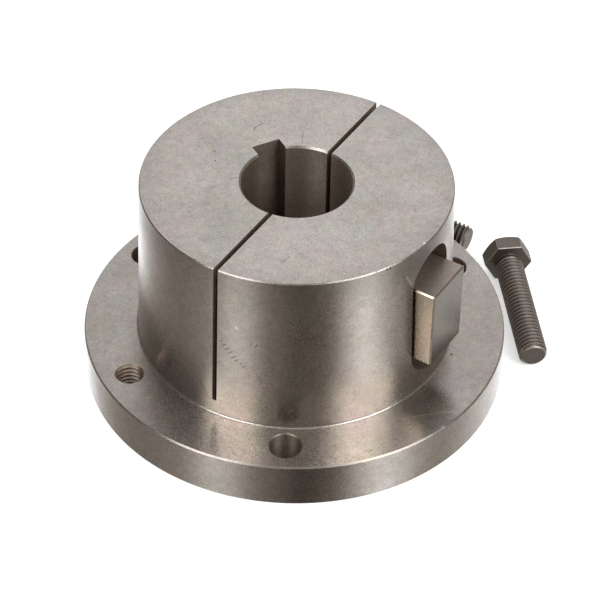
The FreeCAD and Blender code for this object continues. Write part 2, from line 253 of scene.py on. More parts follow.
def threaded_rod(name, minor, major, plain, low, turns, depth_at):
    """Closed rod with a right-hand thread. depth_at gives how deep the thread is at a height."""
    count, rows = THREAD_SIDES, len(THREAD_FORM)
    last = turns * count
    points, index = [], {}

    def add(key, radius, step, height):
        angle = TAU * step / count
        index[key] = len(points)
        points.append((radius * math.cos(angle), radius * math.sin(angle), height))

    def thread_point(row, step):
        share, crest = THREAD_FORM[row]
        height = low + THREAD_PITCH * (step / count + share)
        radius = plain + (minor + (major - minor) * crest - plain) * depth_at(height)
        add((row, step), radius, step, height)

    for step in range(last + 1):
        for row in range(rows):
            thread_point(row, step)
    for step in range(last + 1, last + count + 1):
        thread_point(0, step)
    margin = THREAD_PITCH / 2
    for step in range(count):
        add(("foot", step), plain, step, low - margin)
        add(("top", step), plain, step, low + THREAD_PITCH * (turns + 1) + margin)

    def at(row, step):
        return index[(0, step + count)] if row == rows else index[(row, step)]

    faces = []
    for step in range(last):
        for row in range(rows):
            lower = [at(row, step), at(row, step + 1)]
            faces.append(lower + [at(row + 1, step + 1), at(row + 1, step)])
    foot_seam = [at(row, 0) for row in range(rows + 1)]
    top_seam = [at(row, last) for row in range(rows, 0, -1)]
    for step in range(count):
        after = (step + 1) % count
        side = [index[("foot", step)], index[("foot", after)]]
        side += foot_seam if after == 0 else [at(0, after)]
        faces.append(side + [at(0, step)])
        side = [at(0, last + step), at(0, last + step + 1)]
        side += [index[("top", after)], index[("top", step)]]
        faces.append(side + (top_seam if step == 0 else []))
    faces.append([index[("foot", step)] for step in reversed(range(count))])
    faces.append([index[("top", step)] for step in range(count)])
    return make_object(name, points, faces)


def arc(centre, radius, start, end, steps):
    """Points along an arc, angles in degrees."""
    angles = [math.radians(start + (end - start) * step / steps) for step in range(steps + 1)]
    return [(centre[0] + radius * math.cos(a), centre[1] + radius * math.sin(a)) for a in angles]


def turned_about_z(degrees):
    return Matrix.Rotation(math.radians(degrees), 4, "Z")


def standing(degrees):
    """Turn for an outline whose x runs across, y up and z out along a direction."""
    upright = Matrix(((0, 0, 1, 0), (1, 0, 0, 0), (0, 1, 0, 0), (0, 0, 0, 1)))
    return turned_about_z(degrees) @ upright


def bushing_profile():
    """Corners of the turned section, from the bore's foot round the outside."""
    taper = (BARREL_ROOT_RADIUS - BARREL_TOP_RADIUS) / (OVERALL_LENGTH - FLANGE_THICKNESS)
    half = math.atan(taper)
    reach = ROOT_FILLET * math.tan(math.radians(45) - half / 2)
    centre = (BARREL_ROOT_RADIUS + reach, FLANGE_THICKNESS + ROOT_FILLET)
    fillet = arc(centre, ROOT_FILLET, 270, 180 + math.degrees(half), FILLET_STEPS)
    profile = [
        (BORE_RADIUS + BORE_CHAMFER, 0),
        (FLANGE_RADIUS - FLANGE_BACK_CHAMFER, 0),
        (FLANGE_RADIUS, FLANGE_BACK_CHAMFER),
        (FLANGE_RADIUS, FLANGE_THICKNESS - FLANGE_FACE_CHAMFER),
        (FLANGE_RADIUS - FLANGE_FACE_CHAMFER, FLANGE_THICKNESS),
        (centre[0] + FILLET_SUPPORT, FLANGE_THICKNESS),
    ]
    profile += fillet
    foot = fillet[-1][1] + FILLET_SUPPORT
    rim = OVERALL_LENGTH - BARREL_RIM_CHAMFER
    for band in range(BARREL_BANDS + 1):
        height = foot + (rim - foot) * band / BARREL_BANDS
        profile.append((BARREL_ROOT_RADIUS - taper * (height - FLANGE_THICKNESS), height))
    profile += [
        (BARREL_TOP_RADIUS - BARREL_RIM_CHAMFER, OVERALL_LENGTH),
        (BORE_RADIUS + BORE_CHAMFER, OVERALL_LENGTH),
        (BORE_RADIUS, OVERALL_LENGTH - BORE_CHAMFER),
        (BORE_RADIUS, BORE_CHAMFER),
    ]
    return profile


def to_bolt_circle(tool, angle):
    """Move a tool from the axis to the bolt circle."""
    place = turned_about_z(angle) @ Vector((BOLT_CIRCLE_RADIUS, 0, 0))
    tool.data.transform(Matrix.Translation(place * MM))


def hole_tool(radius, angle, chamfer=HOLE_EDGE_CHAMFER):
    """Drill that goes right through the flange and breaks the edge of its mouth."""
    top = FLANGE_THICKNESS + DRILL_BEYOND
    profile = (
        (0, -DRILL_BEYOND), (radius, -DRILL_BEYOND), (radius, FLANGE_THICKNESS - chamfer),
        (radius + chamfer + DRILL_BEYOND, top), (0, top),
    )
    tool = lathe("drill", profile, start=TOOL_TURN)
    to_bolt_circle(tool, angle)
    return tool


def tap_tool(angle):
    """Right-hand tap and its drill, which go right through the flange."""
    turns = math.ceil(FLANGE_THICKNESS / THREAD_PITCH) + SPARE_TURNS

    def depth_at(height):
        return 1.0 if -TAP_REACH < height < FLANGE_THICKNESS + TAP_REACH else 0.0

    tool = threaded_rod(
        "tap", TAP_MINOR_RADIUS, TAP_MAJOR_RADIUS, TAP_MINOR_RADIUS, TAP_START, turns, depth_at
    )
    to_bolt_circle(tool, angle)
    combine(tool, hole_tool(THREAD_MINOR_RADIUS, angle, TAPPED_EDGE_CHAMFER), "UNION")
    return tool


def make_bushing():
    """Bushing with its keyway, key's seat, saw cut and holes, in place of its node."""
    bushing = lathe("turned_bushing", bushing_profile(), count=BUSHING_SIDES)
    half, start = KEYWAY_HALF_WIDTH, BORE_RADIUS / 2
    outline = ((-half, start), (half, start), (half, KEYWAY_FLOOR), (-half, KEYWAY_FLOOR))
    top = OVERALL_LENGTH + CUT_BEYOND
    tools = [prism("keyway_tool", outline, -CUT_BEYOND, top)]

    half = KEYSEAT_HALF_WIDTH
    outline = arc((0, KEYSEAT_TOP - half), half, 0, 180, SEAT_STEPS)
    outline += arc((0, KEYSEAT_FOOT + half), half, 180, 360, SEAT_STEPS)
    reach = BARREL_ROOT_RADIUS + CUT_BEYOND
    tools.append(prism("seat_tool", outline, KEYSEAT_FLOOR, reach, standing(KEYSEAT_ANGLE)))

    outline = ((-reach, SAW_CUT_FOOT), (reach, SAW_CUT_FOOT), (reach, top), (-reach, top))
    near, far = SAW_CUT_OFFSET - SAW_CUT_HALF_WIDTH, SAW_CUT_OFFSET + SAW_CUT_HALF_WIDTH
    tools.append(prism("saw_tool", outline, near, far, standing(SAW_CUT_ANGLE)))

    tools += [hole_tool(CLEAR_HOLE_RADIUS, angle) for angle in CLEAR_HOLE_ANGLES]
    tools += [tap_tool(angle) for angle in TAPPED_HOLE_ANGLES]
    combine(bushing, join(tools), "DIFFERENCE")
    clean(bushing)
    smooth(bushing, BUSHING_SHARP)
    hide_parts("tapered_bushing")
    return bushing


def head_chamfer_tool(corner):
    """Ring that cuts the corners of the head down to its round crown."""
    crown = HEAD_ACROSS_FLATS / 2 - HEAD_CROWN_MARGIN
    beyond = corner + 2
    under = -HEAD_HEIGHT - 1
    drop = (beyond - crown) * math.tan(HEAD_CHAMFER_SLOPE)
    profile = ((crown, -HEAD_HEIGHT), (crown, under), (beyond, under), (beyond, drop - HEAD_HEIGHT))
    return lathe("head_tool", profile)


def tip_tool():
    """Cutter that ends the thread flat, with its chamfer."""
    end = THREAD_MAJOR_RADIUS - SCREW_TIP_CHAMFER
    aside, beyond = 3, 8
    return lathe("tip_tool", (
        (0, SCREW_LENGTH), (end, SCREW_LENGTH), (end + aside, SCREW_LENGTH - aside),
        (end + aside, SCREW_LENGTH + beyond), (0, SCREW_LENGTH + beyond),
    ))


def screw_blank():
    """One cap screw with its thread, pointing up Z from the head's bearing face."""
    corner = HEAD_ACROSS_FLATS / 2 / math.cos(math.radians(30))
    turns_of_head = [math.radians(60 * step) for step in range(6)]
    outline = [(corner * math.cos(a), corner * math.sin(a)) for a in turns_of_head]
    screw = prism("screw", outline, -HEAD_HEIGHT, 0)
    combine(screw, head_chamfer_tool(corner), "DIFFERENCE")

    def depth_at(height):
        if height >= SCREW_LENGTH + THREAD_PITCH:
            return 0.0
        return min(max((height - RUNOUT_START) / RUNOUT_LENGTH, 0.0), 1.0)

    plain = (THREAD_MINOR_RADIUS + THREAD_MAJOR_RADIUS) / 2
    turns = math.ceil(SCREW_LENGTH / THREAD_PITCH) + SPARE_TURNS
    rod = threaded_rod(
        "rod", SCREW_ROOT_RADIUS, THREAD_MAJOR_RADIUS, plain, SCREW_THREAD_START, turns, depth_at
    )
    combine(rod, tip_tool(), "DIFFERENCE")
    combine(screw, rod, "UNION")
    clean(screw)
    break_head_edges(screw)
    smooth(screw, SCREW_SHARP)
    mark_wear_and_highlights(screw)
    return screw


def break_head_edges(screw):
    """Narrow bevels on the edges of the head."""
    mesh = bmesh.new()
    mesh.from_mesh(screw.data)
    mesh.normal_update()

    def on_head(corner):
        aside = math.hypot(corner.co.x, corner.co.y)
        return corner.co.z < 0.01 * MM and aside > HEAD_EDGE_RADIUS * MM

    edges = [
        edge for edge in mesh.edges
        if all(on_head(corner) for corner in edge.verts)
        and edge.is_manifold and edge.calc_face_angle() > HEAD_EDGE_ANGLE
    ]
    bmesh.ops.bevel(
        mesh, geom=edges, offset=HEAD_EDGE_BEVEL * MM, segments=1, affect="EDGES",
        clamp_overlap=True,
    )
    mesh.to_mesh(screw.data)
    mesh.free()


def mark_wear_and_highlights(screw):
    """Give each face corner the share of the dark finish that is worn off, which also paints
    highlights on the crests, the head's edges and the tip's chamfer.
    """
    mesh = screw.data
    depth = THREAD_MAJOR_RADIUS - THREAD_MINOR_RADIUS
    tip_from = SCREW_LENGTH - SCREW_TIP_CHAMFER - 0.05
    thread_from = 0.3
    shares = []
    for face in mesh.polygons:
        normal = face.normal
        height = face.center.z / MM
        if height > tip_from:
            shares += [WEAR_AND_HIGHLIGHT_TIP_FLAT if normal.z > 0.99 else WEAR_AND_HIGHLIGHT_TIP_BEVEL] * face.loop_total
        elif height > thread_from:
            for corner in face.vertices:
                x, y, z = mesh.vertices[corner].co / MM
                share = (math.hypot(x, y) - THREAD_MINOR_RADIUS) / depth
                shares.append(max(0.0, min(WEAR_AND_HIGHLIGHT_CREST, (share - 0.4) / 0.6)))
        else:
            side = math.degrees(math.atan2(normal.y, normal.x)) % 60
            flat = abs(normal.z) > 0.99 or (abs(normal.z) < 0.01 and abs(side - 30) < 2)
            crown = normal.z < -0.8
            shares += [WEAR_AND_HIGHLIGHT_HEAD_FLAT if flat or crown else WEAR_AND_HIGHLIGHT_HEAD_EDGE] * face.loop_total
    wear_and_highlight = mesh.attributes.new("wear_and_highlight", "FLOAT", "CORNER")
    wear_and_highlight.data.foreach_set("value", shares)


def make_screws():
    """Each screw leans on one edge of its head and on the end of its thread."""
    blank = screw_blank()
    lean = math.atan(
        (HEAD_ACROSS_FLATS / 2 - THREAD_MAJOR_RADIUS) / (SCREW_LENGTH - SCREW_TIP_CHAMFER)
    )
    flat_down = turned_about_z(30)
    screws = []
    for node, direction, distance, setback, heading in SCREWS:
        reach = FLANGE_RADIUS + distance
        along = turned_about_z(heading) @ Vector((setback, 0, 0))
        place = turned_about_z(direction) @ Vector((reach, 0, 0)) - along
        place.z = HEAD_ACROSS_FLATS / 2 * math.cos(lean)
        laid = Matrix.Rotation(math.radians(90) + lean, 4, "Y")
        turn = turned_about_z(heading) @ laid @ flat_down
        screw = bpy.data.objects.new(node.replace("cap_screw", "threaded_screw"), blank.data.copy())
        screw.data.transform(Matrix.Translation(place * MM) @ turn)
        bpy.context.scene.collection.objects.link(screw)
        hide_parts(node)
        screws.append(screw)
    bpy.data.objects.remove(blank)
    return screws


class Graph:
    """Short way to write a node tree."""

    def __init__(self, tree):
        self.tree = tree
        tree.nodes.clear()

    def fill(self, socket, source):
        """Link an input to a socket, or set it to a value."""
        if isinstance(source, bpy.types.NodeSocket):
            self.tree.links.new(source, socket)
        else:
            socket.default_value = source

    def node(self, kind, inputs=(), output=0, **settings):
        """Add a node, fill its inputs by name or number, and return one output."""
        made = self.tree.nodes.new(kind)
        for name, setting in settings.items():
            setattr(made, name, setting)
        for name, source in dict(inputs).items():
            self.fill(made.inputs[name], source)
        return made.outputs[output] if made.outputs else made

    def math(self, operation, *terms):
        return self.node("ShaderNodeMath", dict(enumerate(terms)), operation=operation)

    def chain(self, operation, total, *others):
        """Apply an operation of two terms along a row of them."""
        for other in others:
            total = self.math(operation, total, other)
        return total

    def vector(self, operation, first, second, output=0):
        return self.node("ShaderNodeVectorMath", {0: first, 1: second}, output, operation=operation)

    def scaled(self, source, scale):
        return self.node("ShaderNodeVectorMath", {0: source, "Scale": scale}, operation="SCALE")

    def spread(self, source, low, high, to_low=0.0, to_high=1.0):
        """Map a range to another, held at its ends."""
        return self.node(
            "ShaderNodeMapRange", {0: source, 1: low, 2: high, 3: to_low, 4: to_high}
        )

    def ramp(self, source, stops):
        """Grey by place from 0 to 1, straight from each stop to the next."""
        made = self.tree.nodes.new("ShaderNodeValToRGB")
        self.tree.links.new(source, made.inputs[0])
        ramp = made.color_ramp
        while len(ramp.elements) < len(stops):
            ramp.elements.new(0.5)
        for element, (place, grey) in zip(ramp.elements, stops):
            element.position = place
            element.color = (grey, grey, grey, 1)
        return made.outputs[0]

    def noise(self, vector, scale, detail=2.0, roughness=0.5, output=0):
        inputs = {"Vector": vector, "Scale": scale, "Detail": detail, "Roughness": roughness}
        return self.node("ShaderNodeTexNoise", inputs, output)

    def blend(self, share, first, second, mode="MIX"):
        """Colour between two others, or one worked on the other."""
        made = self.tree.nodes.new("ShaderNodeMix")
        made.data_type = "RGBA"
        made.blend_type = mode
        for number, source in ((0, share), (6, first), (7, second)):
            self.fill(made.inputs[number], source)
        return made.outputs[2]


def new_material(name):
    material = bpy.data.materials.new(name)
    material.use_nodes = True
    return material, Graph(material.node_tree)


# Scratches, nicks and dents of the bushing, with painted glints and a painted reflection among
# them: both ends, half width, and how much lighter or darker
STROKES = (
    ((-0.34, 29.02, 73.025), (0.91, 30.46, 73.025), 0.16, -0.77),
    ((0.91, 30.46, 73.025), (3.93, 31.15, 73.025), 0.14, -0.77),
    ((-17.72, 10.18, 73.025), (-15.65, 9.82, 73.025), 0.14, -0.68),
    ((-16.14, 24.95, 73.025), (-16.25, 24.44, 73.025), 0.2, -0.77),
    ((-18.16, 20.64, 73.025), (-18.2, 20.27, 73.025), 0.22, -0.85),
    ((-26.97, 9.5, 73.025), (-23.51, 8.88, 73.025), 0.12, -0.51),
    ((13.65, 21.81, 73.025), (10.34, 16.46, 73.025), 0.12, -0.51),
    ((-22.02, -32.34, 73.025), (-18.57, -31.49, 73.025), 0.14, -0.59),
    ((-44.0, 13.0, 73.025), (-43.64, 7.92, 73.025), 0.12, -0.42),
    ((3.49, -22.48, 73.025), (5.35, -26.07, 73.025), 0.12, -0.42),
    ((4.95, -48.77, 72.5), (5.1, -48.77, 72.25), 0.34, -0.8),
    ((6.05, -48.65, 72.45), (6.2, -48.64, 72.1), 0.34, -0.8),
    ((1.3, -48.8, 72.95), (1.45, -48.85, 72.8), 0.25, -0.6),
    # Painted glint: a white spot near the rim of the top face
    ((20.3, -43.75, 73.025), (20.6, -43.8, 73.025), 0.35, 1.0),
    ((4.91, -55.55, 15.875), (12.61, -57.41, 15.875), 0.1, 0.47),
    ((12.61, -57.41, 15.875), (20.48, -59.34, 15.875), 0.12, 0.68),
    ((20.48, -59.34, 15.875), (25.46, -61.33, 15.875), 0.12, 0.61),
    ((18.02, -57.36, 15.875), (25.28, -62.24, 15.875), 0.1, 0.41),
    ((12.42, -44.94, 15.875), (28.0, -46.29, 15.875), 0.1, 0.34),
    ((37.2, -37.53, 15.875), (37.13, -38.03, 15.875), 0.28, -1.0),
    # Painted glint: a white spot on the flange's edge, with a dark spot beside it
    ((17.9, -65.43, 15.875), (18.19, -65.42, 15.875), 0.5, 1.0),
    ((17.76, -66.29, 15.875), (17.97, -66.3, 15.875), 0.4, -1.0),
    ((-9.35, -63.88, 15.875), (-7.84, -63.66, 15.875), 0.14, -0.68),
    ((-7.61, -64.51, 15.875), (-6.37, -64.16, 15.875), 0.14, -0.68),
    ((-45.23, -45.93, 15.875), (-44.44, -48.49, 15.875), 0.14, -0.59),
    ((-62.91, 17.18, 15.875), (-59.26, 19.1, 15.875), 0.12, -0.51),
    ((-61.95, 12.99, 15.875), (-59.56, 14.45, 15.875), 0.12, -0.42),
    # Painted glint: a white spot on the flange's top
    ((-26.23, -46.17, 15.875), (-25.95, -46.31, 15.875), 0.35, 1.0),
    ((-40.6, -28.94, 45.98), (-40.18, -29.47, 46.94), 0.14, -0.59),
    ((-40.23, -29.53, 44.51), (-39.49, -30.46, 45.63), 0.16, -0.77),
    ((-39.64, -30.38, 43.32), (-38.78, -31.41, 44.47), 0.16, -0.85),
    ((-38.92, -31.33, 42.53), (-38.17, -32.2, 43.44), 0.16, -0.85),
    ((-38.54, -31.89, 40.65), (-37.55, -32.99, 41.82), 0.18, -0.85),
    ((-37.8, -32.8, 39.78), (-37.03, -33.64, 40.64), 0.16, -0.85),
    ((-36.61, -34.15, 39.16), (-36.15, -34.61, 39.85), 0.14, -0.59),
    ((-36.07, -34.77, 38.21), (-35.5, -35.33, 38.81), 0.14, -0.77),
    ((-34.23, -36.19, 47.35), (-33.63, -36.68, 48.93), 0.14, -0.59),
    ((-33.0, -37.32, 47.16), (-32.54, -37.67, 48.28), 0.16, -0.77),
    ((-37.24, -32.81, 53.33), (-36.92, -33.18, 52.9), 0.45, 0.5),
    ((-31.1, -39.49, 32.66), (-30.98, -39.6, 32.28), 0.22, 0.68),
    # Painted reflection: the key's lit side, as a light streak on the barrel beside its seat
    ((12.77, -47.56, 65.53), (15.05, -47.06, 60.3), 0.4, 0.5),
)
# A stroke is whole up to the first share of its half width and fades out by the second
STROKE_CORE = 0.4
STROKE_FADE = 1.3
# Fine scratches of the level faces: headings, and the size of the cells that hold one each
SCRATCH_HEADINGS = (20, 100)
SCRATCH_CELL_LENGTH = 24
SCRATCH_CELL_WIDTH = 3
SCRATCH_DEPTH = -0.5
SCRATCH_DARK = (0.03, 0.026, 0.022, 1)
# Colour of the light strokes: light scratches, painted glints and a painted reflection
SCRATCH_AND_GLINT_LIGHT = (0.95, 0.95, 0.92, 1)

# Scales of the noises, per metre
PATCH_SCALE = 55.0
STAIN_SCALE = 130.0
CLOUD_SCALE = 420.0
GRAIN_SCALE = 2100.0
MARK_SCALE = 2600.0
SCREW_CLOUD_SCALE = 500.0
SCREW_GRAIN_SCALE = 2400.0
# Length that one radian round the bore counts for in the tool marks
MARK_TURN = 1.2
STAIN_ON_WALLS = 0.025
STAIN_ON_TOPS = 0.045
DARK_SPECK_SHARE = 0.3
UNEVEN_SHINE = 0.03
UNEVEN_SCREW_SHINE = 0.04
BUMP_DEPTH = 0.06
BUMP_STRENGTH = 0.25
SCREW_BUMP_STRENGTH = 0.15

# Ranges of the noises over which the steel's patches, dark specks, levels and shine change
PATCH_RANGE = (0.38, 0.66)
SPECK_RANGE = (0.72, 0.78)
LEVEL_RANGE = (0.2, 0.8)
SHINE_RANGE = (0.3, 0.7)
SCREW_PATCH_RANGE = (0.35, 0.7)
SCREW_WEAR_AND_HIGHLIGHT_RANGE = (0.25, 0.6)

# A face looks squarely along a direction where the cosine between them is above this
SQUARE_ON = 0.9
# How far a mask reaches past a level face
FACE_MARGIN = 0.3
# Where masks fade in, in metres, by height, by distance from the axis towards the seat, by radius
RIM_FADE = (60 * MM, 71 * MM)
# These two fade in the painted dark reflection on the barrel above the key's seat, by height and
# outwards
DARK_REFLECTION_FADE_UP = (63 * MM, 68 * MM)
DARK_REFLECTION_FADE_OUT = (45 * MM, 48.5 * MM)
EDGE_FADE = (43 * MM, 47.5 * MM)
# Fade of the seat's diffuse share, which is smaller at its foot to paint the key's shadow there
SEAT_SHADOW_FADE = (30 * MM, 60 * MM)
# Bands of the masks: radii of the root fillet, and the reach to both sides of a cut's middle
FILLET_BAND = (50, 53)
HOLE_BAND = 6.5
SEAT_BAND = 10.4
SAW_BAND = 0.85

# Tones of the bushing's parts, multiplied on its colour in this order. The tone over the key's seat
# is no part's colour but a painted dark reflection on the barrel there.
BUSHING_TONES = {
    "rim": (0.84, 0.84, 0.84),
    "painted_dark_reflection_over_seat": (0.6, 0.6, 0.6),
    "flange": (0.89, 0.89, 0.89),
    "edge": (0.92, 0.92, 0.92),
    "bore": (0.86, 0.78, 0.72),
    "keyway": (0.6, 0.53, 0.47),
    "holes": (0.62, 0.55, 0.5),
    "seat": (0.75, 0.66, 0.58),
    "sawn": (0.4, 0.32, 0.26),
}
# Diffuse shares of the parts, and what they add to the roughness
HOLE_DIFFUSE = 0.06
SAWN_DIFFUSE = 0.4
# The seat's foot has the smaller diffuse share, a painted shadow of the key
SHADOWED_SEAT_FOOT_DIFFUSE, SEAT_TOP_DIFFUSE = 0.03, 0.1
CUT_ROUGHER = 0.25
BORE_ROUGHER = 0.13
FLANGE_ROUGHER = 0.04
BARREL_FOOT_ROUGHER, BARREL_TOP_ROUGHER = -0.01, 0.05

KEY_SIDE_TONE = (0.86, 0.84, 0.79, 1)
KEY_BROAD_TONE = (0.46, 0.46, 0.46)
KEY_END_TONE = (0.84, 0.81, 0.84)
KEY_END_ROUGHER = 0.2


def stroke_shade(graph, place):
    """Sum of the strokes' tones at a place."""
    total = 0.0
    for start, end, half_width, tone in STROKES:
        first, run = Vector(start) * MM, (Vector(end) - Vector(start)) * MM
        along = graph.vector("SUBTRACT", place, tuple(first))
        share = graph.vector("DOT_PRODUCT", along, tuple(run / run.length_squared), output=1)
        nearest = graph.scaled(tuple(run), graph.spread(share, 0.0, 1.0))
        distance = graph.vector("DISTANCE", along, nearest, output=1)
        core, fade = STROKE_CORE * half_width * MM, STROKE_FADE * half_width * MM
        total = graph.math("ADD", total, graph.spread(distance, core, fade, tone, 0.0))
    return total


def fine_scratches(graph, place, degrees):
    """Shade of short faint scratches that run one way."""
    turned = graph.node(
        "ShaderNodeVectorRotate", {"Vector": place, "Angle": math.radians(degrees)},
        rotation_type="Z_AXIS",
    )
    length, width = SCRATCH_CELL_LENGTH * MM, SCRATCH_CELL_WIDTH * MM
    stretched = graph.vector("MULTIPLY", turned, (1 / length, 1 / width, 1))
    cells = graph.node(
        "ShaderNodeTexVoronoi", {"Vector": stretched, "Scale": 1.0}, voronoi_dimensions="2D"
    ).node
    near = graph.spread(cells.outputs["Distance"], 0.015, 0.055, 1.0, 0.0)
    chance = graph.node("ShaderNodeSeparateXYZ", {0: cells.outputs["Color"]})
    return graph.math("MULTIPLY", near, graph.spread(chance, 0.4, 1.0, 0.0, SCRATCH_DEPTH))


def scratched_and_glinted(graph, place, up, base):
    """Colour with the strokes on it, painted glints and a painted reflection among them, and fine
    scratches on the level faces.
    """
    fine = (fine_scratches(graph, place, degrees) for degrees in SCRATCH_HEADINGS)
    level_face = graph.math("GREATER_THAN", up, SQUARE_ON)
    fine = graph.math("MULTIPLY", graph.chain("ADD", *fine), level_face)
    shade = graph.math("ADD", stroke_shade(graph, place), fine)
    base = graph.blend(graph.spread(shade, 0.0, -1.0), base, SCRATCH_DARK)
    return graph.blend(graph.spread(shade, 0.0, 1.0), base, SCRATCH_AND_GLINT_LIGHT)


def steel(name, colour, tint, dark, roughness, grooves, mottle, finish, brushed=0.0):
    """Machined steel with patches, mottling, fine grain, and tool marks that run round the bore.

    finish gives a tone for the colour, an addition to the roughness and the metallic share, by
    place; for the bushing these hold a painted dark reflection and a painted shadow. brushed says
    how far the marks stretch reflections, and such steel gets the strokes and fine scratches too,
    painted glints and a painted reflection among the strokes.
    """
    material, graph = new_material(name)
    place = graph.node("ShaderNodeTexCoord", output=3)
    x, y, z = graph.node("ShaderNodeSeparateXYZ", {0: place}).node.outputs
    squares = graph.math("MULTIPLY", x, x), graph.math("MULTIPLY", y, y)
    radius = graph.math("SQRT", graph.math("ADD", *squares))
    turn = graph.math("MULTIPLY", graph.math("ARCTAN2", y, x), MARK_TURN * MM)
    ring = graph.node("ShaderNodeCombineXYZ", {0: radius, 1: z, 2: turn})
    grain = graph.noise(place, GRAIN_SCALE, 3.0, 0.6)
    clouds = graph.noise(place, CLOUD_SCALE)
    patches = graph.noise(place, PATCH_SCALE, 3.0, 0.6)
    marks = graph.noise(ring, MARK_SCALE, 3.0, 0.6)
    stain = graph.noise(place, STAIN_SCALE, 3.0, output=1)
    up = facing(graph, UP)

    base = graph.blend(graph.spread(patches, *PATCH_RANGE), colour, tint)
    base = graph.blend(graph.spread(clouds, *SPECK_RANGE, 0.0, DARK_SPECK_SHARE), base, dark)
    share = graph.spread(up, 0.5, 0.9, STAIN_ON_WALLS, STAIN_ON_TOPS)
    base = graph.blend(share, base, stain, "LINEAR_LIGHT")
    fine_level = graph.spread(grain, *LEVEL_RANGE, -mottle, mottle)
    wide_level = graph.spread(clouds, *LEVEL_RANGE, 1 - mottle / 3, 1 + mottle / 3)
    base = graph.scaled(base, graph.math("ADD", fine_level, wide_level))
    tone, rougher, metallic = finish(graph, radius, x, y, z)
    base = graph.blend(1.0, base, tone, "MULTIPLY")
    if brushed:
        base = scratched_and_glinted(graph, place, up, base)

    dullest, shiniest = roughness + UNEVEN_SHINE, roughness - UNEVEN_SHINE
    rough = graph.chain(
        "ADD", graph.spread(patches, *SHINE_RANGE, shiniest, dullest),
        graph.spread(grain, *SHINE_RANGE, -UNEVEN_SHINE, UNEVEN_SHINE), rougher,
    )
    height = graph.math("ADD", grain, graph.math("MULTIPLY", marks, grooves))
    bump = graph.node(
        "ShaderNodeBump", {"Strength": BUMP_STRENGTH, "Distance": BUMP_DEPTH * MM, "Height": height}
    )
    shader = graph.node("ShaderNodeBsdfPrincipled", {
        "Base Color": base, "Metallic": metallic, "Roughness": rough, "Normal": bump,
    })
    if brushed:
        round_bore = graph.node("ShaderNodeTangent", direction_type="RADIAL", axis="Z")
        shader.node.inputs["Anisotropic"].default_value = brushed
        shader.node.inputs["Anisotropic Rotation"].default_value = 0.25
        graph.tree.links.new(round_bore, shader.node.inputs["Tangent"])
    graph.node("ShaderNodeOutputMaterial", {0: shader})
    return material


def facing(graph, direction):
    """How squarely the surface faces a direction, from -1 to 1."""
    normal = graph.node("ShaderNodeNewGeometry", output=1)
    return graph.vector("DOT_PRODUCT", normal, direction, output=1)


def between(graph, source, low, high):
    """1 where a length is between two others in millimetres, else 0."""
    return graph.math("COMPARE", source, (low + high) / 2 * MM, (high - low) / 2 * MM)


def toned(graph, start, parts):
    """Tone that starts from one and takes on another wherever a mask is on."""
    tone = start
    for mask, part_tone in parts:
        tone = graph.blend(mask, tone, (*part_tone, 1))
    return tone


def bushing_masks(graph, radius, x, y, z):
    """Masks of the bushing's parts by name."""
    def both(*masks):
        return graph.chain("MULTIPLY", *masks)

    def offset(degrees):
        """Distance from the axis along a direction."""
        a = math.radians(degrees)
        along_x = graph.math("MULTIPLY", x, math.cos(a))
        return graph.math("ADD", along_x, graph.math("MULTIPLY", y, math.sin(a)))

    def squarely(degrees):
        """How squarely the surface faces a direction or its opposite."""
        a = math.radians(degrees)
        return graph.math("ABSOLUTE", facing(graph, (math.cos(a), math.sin(a), 0)))

    def level_at(height):
        near = between(graph, z, height - FACE_MARGIN, height + FACE_MARGIN)
        return both(graph.math("GREATER_THAN", up, SQUARE_ON), near)

    up = facing(graph, UP)
    upright = graph.math("COMPARE", up, 0.0, 0.5)
    slanted = graph.math("COMPARE", up, math.cos(math.radians(45)), 0.2)
    bore_reach, seat_margin = KEYWAY_FLOOR + 1, 0.1
    near_wall, far_wall = SAW_CUT_OFFSET - SAW_BAND, SAW_CUT_OFFSET + SAW_BAND
    end = level_at(OVERALL_LENGTH)
    bore = both(upright, between(graph, radius, 0, bore_reach))
    barrel = both(upright, between(graph, radius, KEYSEAT_FLOOR, BARREL_ROOT_RADIUS))
    on_root_fillet = between(graph, radius, *FILLET_BAND)
    out_of_seat = offset(KEYSEAT_ANGLE)
    return {
        "rim": both(barrel, graph.spread(z, *RIM_FADE)),
        # Painted dark reflection on the barrel above the key's seat
        "painted_dark_reflection_over_seat": both(
            graph.spread(out_of_seat, *DARK_REFLECTION_FADE_OUT),
            graph.spread(z, *DARK_REFLECTION_FADE_UP), barrel,
        ),
        "flange": level_at(FLANGE_THICKNESS),
        "edge": both(graph.spread(radius, *EDGE_FADE), end),
        "bore": bore,
        "keyway": both(bore, between(graph, radius, BORE_RADIUS + 0.1, bore_reach)),
        "holes": both(
            between(graph, radius, BOLT_CIRCLE_RADIUS - HOLE_BAND, BOLT_CIRCLE_RADIUS + HOLE_BAND),
            between(graph, z, 0.1, FLANGE_THICKNESS - 0.03),
        ),
        "seat": both(
            graph.math("LESS_THAN", squarely(KEYSEAT_ANGLE), 0.5),
            between(graph, offset(KEYSEAT_ANGLE + 90), -SEAT_BAND, SEAT_BAND),
            between(graph, z, KEYSEAT_FOOT - seat_margin, KEYSEAT_TOP + seat_margin),
            between(graph, out_of_seat, KEYSEAT_FLOOR, BARREL_ROOT_RADIUS),
        ),
        "sawn": both(
            graph.math("GREATER_THAN", squarely(SAW_CUT_ANGLE), SQUARE_ON),
            between(graph, offset(SAW_CUT_ANGLE), near_wall, far_wall),
        ),
        "barrel": barrel,
        "rims": both(
            slanted, graph.math("GREATER_THAN", z, (FLANGE_THICKNESS - 1) * MM),
            graph.math("SUBTRACT", 1.0, on_root_fillet),
        ),
    }


